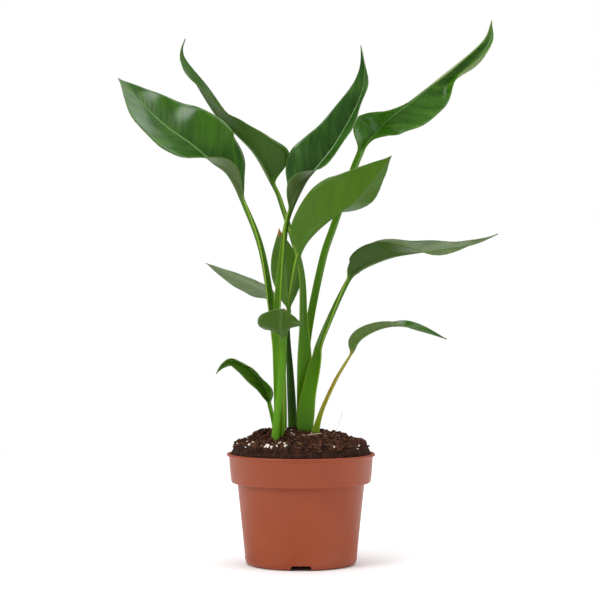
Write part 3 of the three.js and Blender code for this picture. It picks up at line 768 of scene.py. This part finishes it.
def leaf_finish(name, upper, upper_light, under, stalk, rib_show=0.6, sheath_end=1.15, wax_shine=0.42,
                tip=None, tip_start=0.93):
    """Leaf colours: upper side dark and light, under side, stalk, and a dry tip where it has one.

    The pale sheath at the foot of the stalk ends at sheath_end, in units of 100 mm."""
    finish, tree, shader = new_finish(name)
    pattern = add_node(tree, "ShaderNodeUVMap", uv_map="across_along").outputs[0]
    zone = add_node(tree, "ShaderNodeUVMap", uv_map="under_blade").outputs[0]
    place = add_node(tree, "ShaderNodeTexCoord").outputs["Object"]
    split = add_node(tree, "ShaderNodeSeparateXYZ", {0: pattern})
    kinds = add_node(tree, "ShaderNodeSeparateXYZ", {0: zone})
    side, blade_part = kinds.outputs[0], kinds.outputs[1]
    signed = calculated(tree, "MULTIPLY_ADD", split.outputs[0], 2, -1)
    q = calculated(tree, "ABSOLUTE", signed)
    lag = calculated(tree, "MULTIPLY", calculated(tree, "POWER", q, 1.3), 0.22)
    vein = calculated(tree, "SUBTRACT", split.outputs[1], lag)
    on_blade = graded(tree, blade_part, 0.0, opening)

    def streaks(lengthwise, crosswise, detail):
        """Noise drawn out into streaks, with its own draw for each side of the leaf."""
        spot = add_node(tree, "ShaderNodeCombineXYZ", {0: calculated(tree, "MULTIPLY", *lengthwise),
                                                       1: calculated(tree, "MULTIPLY", *crosswise), 2: side})
        made = add_node(tree, "ShaderNodeTexNoise",
                        {"Vector": spot.outputs[0], "Scale": 1.0, "Detail": detail})
        return made.outputs["Fac"]

    # fine veins and broad streaks run with the veins on the blade, stripes lengthwise on the stalk
    fine = streaks((vein, 90), (signed, 1.2), 3)
    broad = streaks((vein, 14), (signed, 0.8), 2)
    stripe = streaks((signed, 9), (split.outputs[1], 1.6), 3)
    cloud = add_node(tree, "ShaderNodeTexNoise", {"Vector": place, "Scale": 26, "Detail": 3})

    tone = calculated(tree, "ADD", calculated(tree, "MULTIPLY", cloud.outputs["Fac"], 0.5),
                      calculated(tree, "MULTIPLY", broad, 0.5))
    top = mixed(tree, graded(tree, tone, 0.36, 0.66), upper, upper_light)
    below = mixed(tree, graded(tree, fine, 0.35, 0.65), under,
                  tuple(0.72 * level for level in under[:3]) + (1,))
    blade = mixed(tree, side, top, below)
    streak = graded(tree, fine, 0.45, 0.75, 0.0, 0.07)
    blade = mixed(tree, streak, blade, paint(122, 160, 84))
    rib_colour = mixed(tree, side, paint(112, 158, 74), paint(136, 164, 96))
    rib = graded(tree, q, 0.035, 0.012)
    blade = mixed(tree, calculated(tree, "MULTIPLY", rib, rib_show), blade, rib_colour)
    margin = graded(tree, q, 0.965, 0.995)
    blade = mixed(tree, calculated(tree, "MULTIPLY", margin, 0.35), blade, paint(120, 145, 60))
    stem = mixed(tree, graded(tree, stripe, 0.35, 0.65, 0.0, 0.4), stalk,
                 tuple(0.6 * level for level in stalk[:3]) + (1,))
    sheath = graded(tree, split.outputs[1], sheath_end, sheath_end - 0.45)
    stem = mixed(tree, calculated(tree, "MULTIPLY", sheath, 0.8), stem, paint(84, 140, 0))
    edge = calculated(tree, "MULTIPLY", graded(tree, q, 0.8, 0.98), 0.6)
    stem = mixed(tree, edge, stem, paint(150, 184, 60))
    colour = mixed(tree, on_blade, stem, blade)
    if tip:
        dry = calculated(tree, "ADD", blade_part, calculated(tree, "MULTIPLY", cloud.outputs["Fac"], 0.06))
        colour = mixed(tree, graded(tree, dry, tip_start + 0.02, tip_start + 0.06), colour, tip)
    tree.links.new(colour, shader.inputs["Base Color"])

    rough = calculated(tree, "ADD", 0.24, calculated(tree, "MULTIPLY", side, 0.22))
    rough = calculated(tree, "ADD", rough, calculated(tree, "MULTIPLY", fine, 0.1))
    tree.links.new(rough, shader.inputs["Roughness"])
    relief = calculated(tree, "ADD", calculated(tree, "MULTIPLY", fine, 0.6),
                        calculated(tree, "MULTIPLY", broad, 1.2))
    relief = calculated(tree, "MULTIPLY", relief, graded(tree, blade_part, 1.0, 0.7, 0.1, 1.0))
    relief = mixed(tree, on_blade, stripe, relief)
    bump = add_node(tree, "ShaderNodeBump", {"Height": relief, "Strength": 0.12, "Distance": 0.0004})
    tree.links.new(bump.outputs[0], shader.inputs["Normal"])
    shader.inputs["Specular IOR Level"].default_value = 0.24
    wax = calculated(tree, "MULTIPLY", on_blade, graded(tree, side, 0.0, 1.0, wax_shine, 0.08))
    tree.links.new(wax, shader.inputs["Coat Weight"])
    shader.inputs["Coat Roughness"].default_value = 0.2
    return finish


deep_green = dict(upper=paint(28, 70, 0), upper_light=paint(56, 102, 4), under=paint(78, 102, 46),
                  stalk=paint(70, 114, 14))
leaf_colours = {
    "leaf_upper_left": deep_green,
    "leaf_curled_left": dict(deep_green, under=paint(54, 92, 0), upper=paint(46, 84, 20)),
    "leaf_upright_middle": dict(deep_green, upper=paint(24, 68, 4), upper_light=paint(60, 104, 28)),
    "leaf_bowed_right": dict(deep_green, under=paint(68, 108, 0), upper=paint(46, 80, 0),
                             upper_light=paint(60, 94, 6), stalk=paint(66, 106, 8), rib_show=0.05),
    # leaf_tall_right: its own greens, made lighter than the other leaves' on both sides with painted light
    # that stands in for light shining through its thin blade.
    "leaf_tall_right": dict(deep_green, upper=paint(50, 100, 10), upper_light=paint(86, 138, 38),
                            under=paint(126, 146, 92), stalk=paint(76, 124, 10)),
    "leaf_arching_right": dict(deep_green, under=paint(54, 86, 4), upper=paint(48, 76, 8),
                               upper_light=paint(74, 98, 28), stalk=paint(70, 110, 10), rib_show=0.3,
                               sheath_end=0.95, wax_shine=0.05),
    "leaf_short_front": dict(deep_green, under=paint(62, 96, 6), tip=paint(110, 76, 44), tip_start=0.95,
                             rib_show=0.1),
    "leaf_low_right": dict(deep_green, under=paint(80, 108, 34), stalk=paint(150, 122, 22), rib_show=0.3,
                           sheath_end=0.62),
    "leaf_back_left": dict(deep_green, under=paint(104, 124, 84), rib_show=0.25),
    "leaf_low_left": dict(deep_green, upper=paint(46, 86, 2), upper_light=paint(66, 106, 14)),
    # leaf_upright_back: its stalk colour is painted shade, a dark green for the shadow that it stands in
    # behind the front stalks.
    "leaf_upright_back": dict(deep_green, under=paint(70, 112, 14), tip=paint(140, 100, 40), tip_start=0.9,
                              stalk=paint(40, 76, 4), rib_show=0.3, sheath_end=0.5),
}
for leaf in leaves:
    grown = finished_piece("grown_" + leaf["name"], leaf_shape(leaf),
                           leaf_finish(leaf["name"] + "_green", **leaf_colours[leaf["name"]]))
    grown.data.shade_smooth()
    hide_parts(leaf["name"])


# ---------------------------------------------------------------------------------------------
# The table top and the light: a pale, matt, seamless sweep that the pot stands on, and three large
# soft lamps over it, in a white room.
# ---------------------------------------------------------------------------------------------
def sweep_finish():
    """Matt off-white paper."""
    finish, tree, shader = new_finish("pale_sweep")
    place = add_node(tree, "ShaderNodeTexCoord").outputs["Object"]
    paper = add_node(tree, "ShaderNodeTexNoise", {"Vector": place, "Scale": 40, "Detail": 2})
    colour = ramp(tree, paper.outputs["Fac"], [(0.0, paint(250, 250, 250)), (1.0, paint(253, 253, 253))])
    tree.links.new(colour, shader.inputs["Base Color"])
    shader.inputs["Roughness"].default_value = 0.9
    shader.inputs["Specular IOR Level"].default_value = 0.1
    return finish


floor_shape = bmesh.new()
bmesh.ops.create_circle(floor_shape, cap_ends=True, segments=96, radius=1.1)
floor_mesh = bpy.data.meshes.new("floor")
floor_shape.to_mesh(floor_mesh)
floor_shape.free()
floor_mesh.materials.append(sweep_finish())
floor = bpy.data.objects.new("floor", floor_mesh)
bpy.context.scene.collection.objects.link(floor)


def add_lamp(name, place, target, size, power):
    """A soft rectangular lamp, all in metres and watts."""
    lamp = bpy.data.lights.new(name, "AREA")
    lamp.shape = "RECTANGLE"
    lamp.size, lamp.size_y = size
    lamp.energy = power
    made = bpy.data.objects.new(name, lamp)
    made.location = place
    made.rotation_euler = (Vector(target) - Vector(place)).to_track_quat("-Z", "Y").to_euler()
    bpy.context.scene.collection.objects.link(made)


middle = (0, 0, 0.22)
add_lamp("key_softbox", (-1.3, -1.1, 1.3), middle, (1.0, 1.1), 22)
add_lamp("fill_softbox", (1.5, -0.7, 0.8), middle, (1.0, 1.2), 9)
add_lamp("top_softbox", (0, 0.2, 2.2), middle, (2.6, 2.6), 52)
world = bpy.data.worlds.new("studio")
world.use_nodes = True
studio = world.node_tree
ray = add_node(studio, "ShaderNodeLightPath")
strength = graded(studio, ray.outputs["Is Camera Ray"], 0, 1, 0.32, 1.0)
studio.nodes["Background"].inputs["Color"].default_value = (1, 1, 1, 1)
studio.links.new(strength, studio.nodes["Background"].inputs["Strength"])
bpy.context.scene.world = world
bpy.context.scene.view_settings.view_transform = "Standard"
